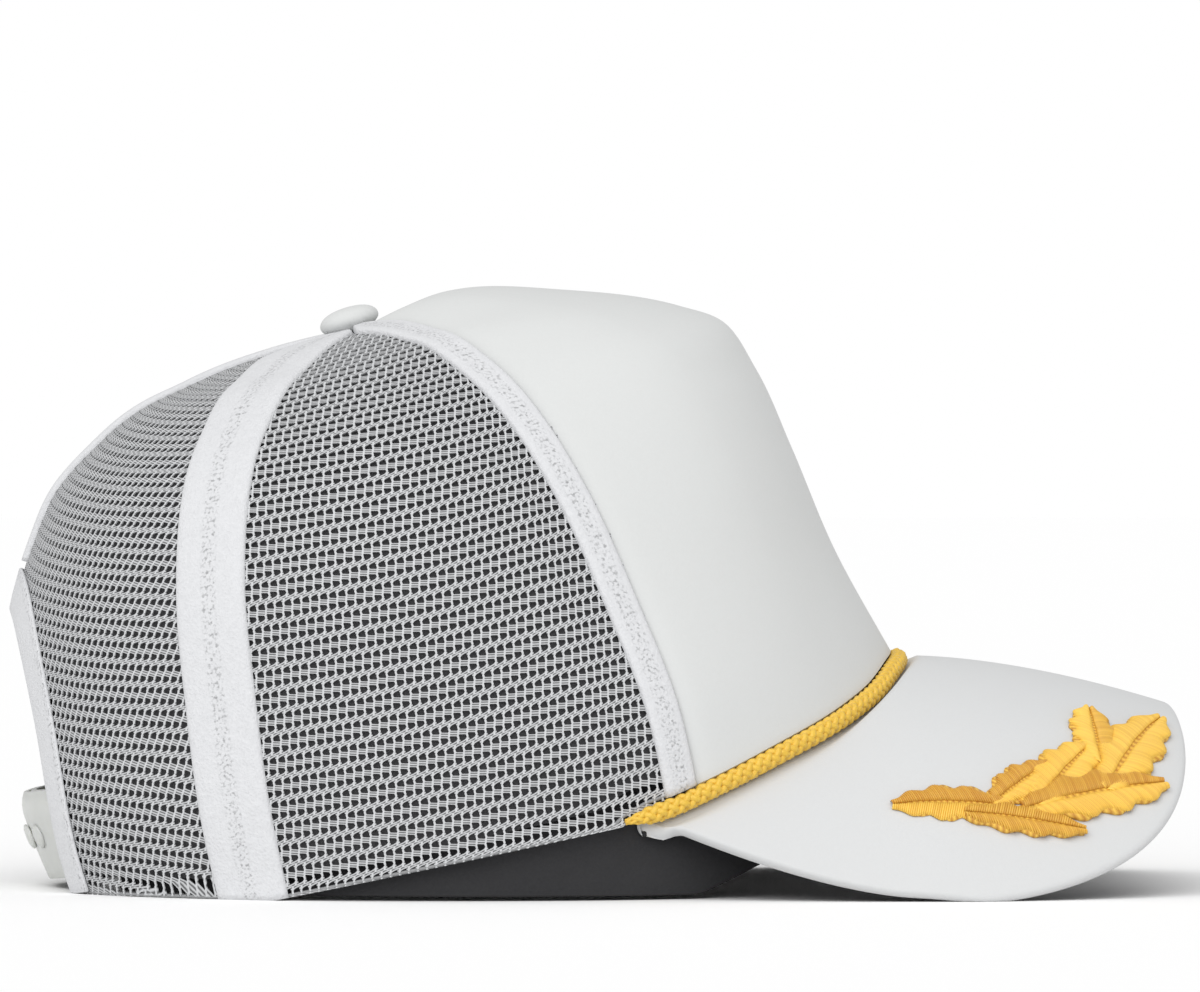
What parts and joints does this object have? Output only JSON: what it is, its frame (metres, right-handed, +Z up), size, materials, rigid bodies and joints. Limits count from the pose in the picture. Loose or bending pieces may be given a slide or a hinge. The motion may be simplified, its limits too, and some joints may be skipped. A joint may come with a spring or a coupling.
{
  "type": "trucker cap",
  "caption": "Foam-front trucker cap with a net crown over a dark lining, a curved visor edged by a braided gold rope, gold leaf sprays and a snap strap at the back.",
  "frame": {"origin": "centre of the bottom of the bounding box: on the floor the cap rests on", "axes": "+X forward, towards the visor's tip; +Y to the wearer's left; +Z up"},
  "size_m": [0.2735, 0.1746, 0.1405],
  "materials": {
    "foam": "smooth matt knit over foam",
    "net": "open warp-knit net",
    "lining": "matt charcoal cloth",
    "tape": "woven cotton tape",
    "visor": "smooth matt cloth over a board",
    "rope": "braided gold cord, soft sheen",
    "leaf": "gold satin-stitch embroidery",
    "snap": "milky flexible plastic"
  },
  "bodies": {
    "root": {"front_panel": "foam", "side_net_right": "net", "side_net_left": "net", "back_net_right": "net", "back_net_left": "net", "side_lining_right": "lining", "side_lining_left": "lining", "back_lining_right": "lining", "back_lining_left": "lining", "front_seam_tape_right": "tape", "front_seam_tape_left": "tape", "side_seam_tape_right": "tape", "side_seam_tape_left": "tape", "back_seam_tape": "tape", "arch_binding": "tape", "strap_with_holes": "snap", "strap_with_pegs": "snap", "visor": "visor", "underbill": "lining", "rope": "rope", "leaf_spray_right": "leaf", "leaf_spray_left": "leaf", "sweatband": "lining", "button": "foam"}
  },
  "joints": []
}
